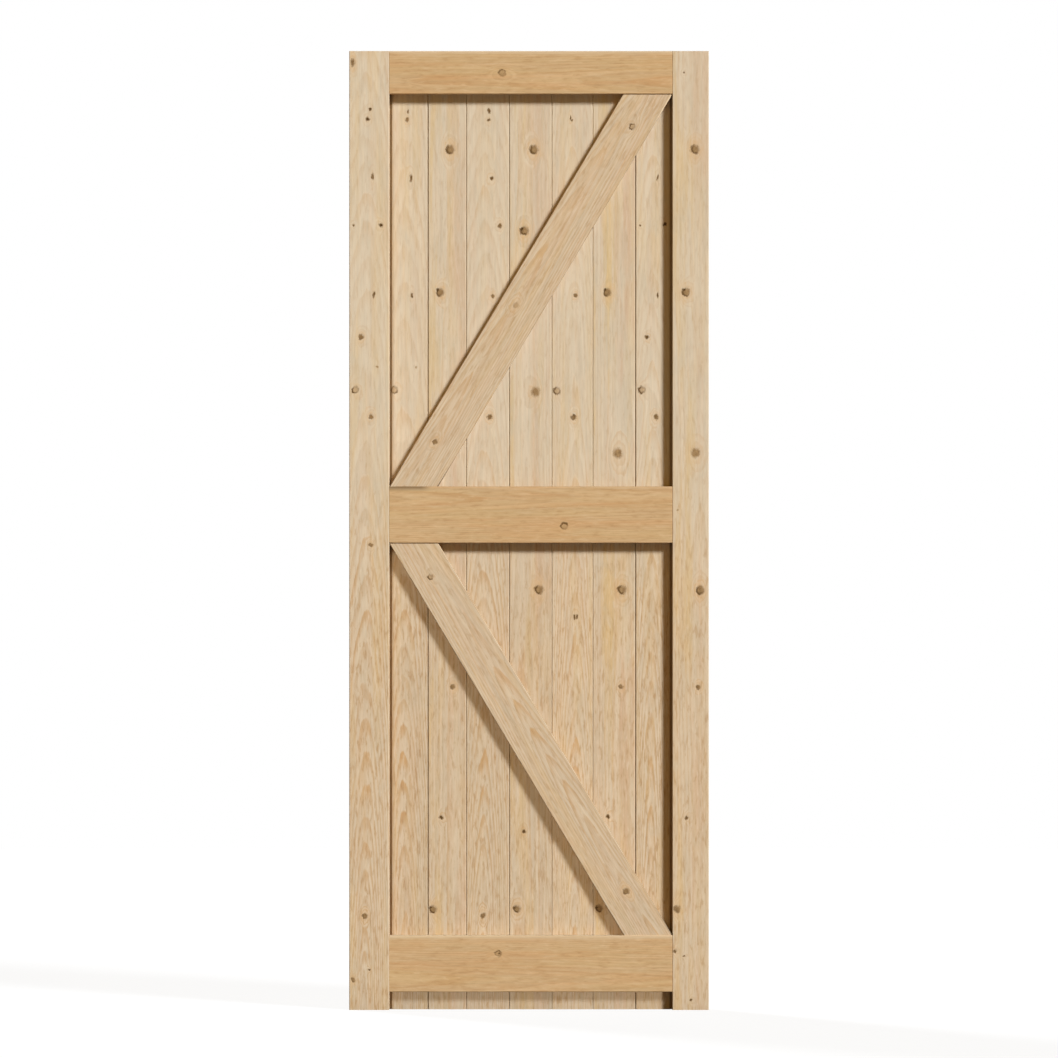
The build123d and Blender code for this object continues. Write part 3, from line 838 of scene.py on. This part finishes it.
def nailMaterial(nails):
    material, tree = newMaterial("stampedSteel")
    where = tree.nodes.new("ShaderNodeTexCoord").outputs["Object"]
    blotch = mottle(tree, where, **nails["blotch"])[0]
    brushed = mottle(tree, where, **nails["brushed"])[0]
    rust = fade(tree, blotch, *nails["rustRange"])
    steel = shade(tree, nails["steel"], scaled(tree, brushed, *nails["brushedLight"]))
    colour = mix(tree, rust, steel, nails["rust"])
    rough = scaled(tree, rust, nails["rustRough"], scaled(tree, brushed, *nails["brushedRough"]))
    height = sums(tree, "ADD", blotch, brushed)
    skin = makeSkin(tree, colour, rough, height, nails["relief"], nails["depth"])
    tree.links.new(scaled(tree, rust, nails["rustMetal"], 1.0), skin.inputs["Metallic"])
    return material


paint(boardNails["nodes"], nailMaterial(boardNails))
print("nails dressed")

# camera straight on at mid height, far enough to be almost without perspective
cameraView = dict(distance=18.0, aimHeight=1.0192, frameHeight=2.2418, frontFace=-0.022, sensor=36.0)
camera = bpy.data.objects.new("camera", bpy.data.cameras.new("camera"))
bpy.context.scene.collection.objects.link(camera)
camera.location = (0, cameraView["frontFace"] - cameraView["distance"], cameraView["aimHeight"])
camera.rotation_euler = (math.radians(90), 0, 0)
camera.data.sensor_width = cameraView["sensor"]
camera.data.lens = cameraView["distance"] * cameraView["sensor"] / cameraView["frameHeight"]
bpy.context.scene.camera = camera

# three low suns from the upper right share the braced face, and one behind lights the boarded face
# a sun shines past the timbers named in passes, so that their shadows are fainter than the others
frontTravel = (-0.84, 1.0, -0.79)
lampDistance = 3.0
lamps = dict(
    key=dict(travel=frontTravel, strength=1.09, colour=(0.95, 0.905, 0.80), spread=9.0,
             passes=("lower_brace", "bottom_ledge")),
    second=dict(travel=frontTravel, strength=1.09, colour=(0.85, 0.92, 0.98), spread=9.0,
                passes=("bottom_ledge",)),
    soft=dict(travel=frontTravel, strength=2.25, colour=(0.715, 0.835, 1.0), spread=14.0, passes=()),
    behind=dict(travel=(0.62, -1.0, -0.75), strength=3.7, colour=(0.848, 0.916, 1.0), spread=10.0, passes=()))
for name, lamp in lamps.items():
    sun = bpy.data.lights.new(name, "SUN")
    sun.energy = lamp["strength"]
    sun.color = lamp["colour"]
    sun.angle = math.radians(lamp["spread"])
    holder = bpy.data.objects.new(name, sun)
    bpy.context.scene.collection.objects.link(holder)
    travel = Vector(lamp["travel"])
    holder.rotation_euler = travel.to_track_quat("-Z", "Y").to_euler()
    holder.location = travel * -lampDistance
    if lamp["passes"]:
        clear = bpy.data.collections.new(name + "_passes")
        for node in lamp["passes"]:
            clear.objects.link(bpy.data.objects[node + "_timber"])
        for item in clear.collection_objects:
            item.light_linking.link_state = "EXCLUDE"
        holder.light_linking.blocker_collection = clear


def showWhereSeen(tree, unseen, seen, outputKind):  # camera, mirror and glass rays get the second shader
    path = tree.nodes.new("ShaderNodeLightPath")
    direct = sums(tree, "MAXIMUM", path.outputs["Is Camera Ray"], path.outputs["Is Glossy Ray"])
    direct = sums(tree, "MAXIMUM", direct, path.outputs["Is Transmission Ray"])
    choice = tree.nodes.new("ShaderNodeMixShader")
    tree.links.new(direct, choice.inputs[0])
    tree.links.new(unseen.outputs[0], choice.inputs[1])
    tree.links.new(seen.outputs[0], choice.inputs[2])
    output = tree.nodes.new(outputKind)
    tree.links.new(choice.outputs[0], output.inputs[0])


# warm fill light, with plain white where the world itself is seen
skyLight = dict(colour=(1.0, 0.60, 0.08, 1.0), strength=0.266)
world = bpy.data.worlds.new("studio")
bpy.context.scene.world = world
world.use_nodes = True
sky = world.node_tree
sky.nodes.clear()
ambient = sky.nodes.new("ShaderNodeBackground")
ambient.inputs["Color"].default_value = skyLight["colour"]
ambient.inputs["Strength"].default_value = skyLight["strength"]
white = sky.nodes.new("ShaderNodeBackground")
white.inputs["Color"].default_value = (1, 1, 1, 1)
white.inputs["Strength"].default_value = 1.0
showWhereSeen(sky, ambient, white, "ShaderNodeOutputWorld")

# matt floor that glows where it is seen, so that it runs into the white
floorSettings = dict(half=9.0, glow=0.85, pale=0.13)
halfFloor = floorSettings["half"]
floorCorners = [(x * halfFloor, y * halfFloor, 0) for x, y in ((-1, -1), (1, -1), (1, 1), (-1, 1))]
floorMesh = bpy.data.meshes.new("floor")
floorMesh.from_pydata(floorCorners, [], [(0, 1, 2, 3)])
floor = bpy.data.objects.new("floor", floorMesh)
bpy.context.scene.collection.objects.link(floor)
floorPaint, floorTree = newMaterial("floorPaint")
matt = floorTree.nodes.new("ShaderNodeBsdfDiffuse")
matt.inputs["Color"].default_value = (floorSettings["pale"],) * 3 + (1,)
glow = floorTree.nodes.new("ShaderNodeEmission")
glow.inputs["Strength"].default_value = floorSettings["glow"]
both = floorTree.nodes.new("ShaderNodeAddShader")
floorTree.links.new(matt.outputs[0], both.inputs[0])
floorTree.links.new(glow.outputs[0], both.inputs[1])
showWhereSeen(floorTree, matt, both, "ShaderNodeOutputMaterial")
floorMesh.materials.append(floorPaint)
print("camera, lamps and floor set")
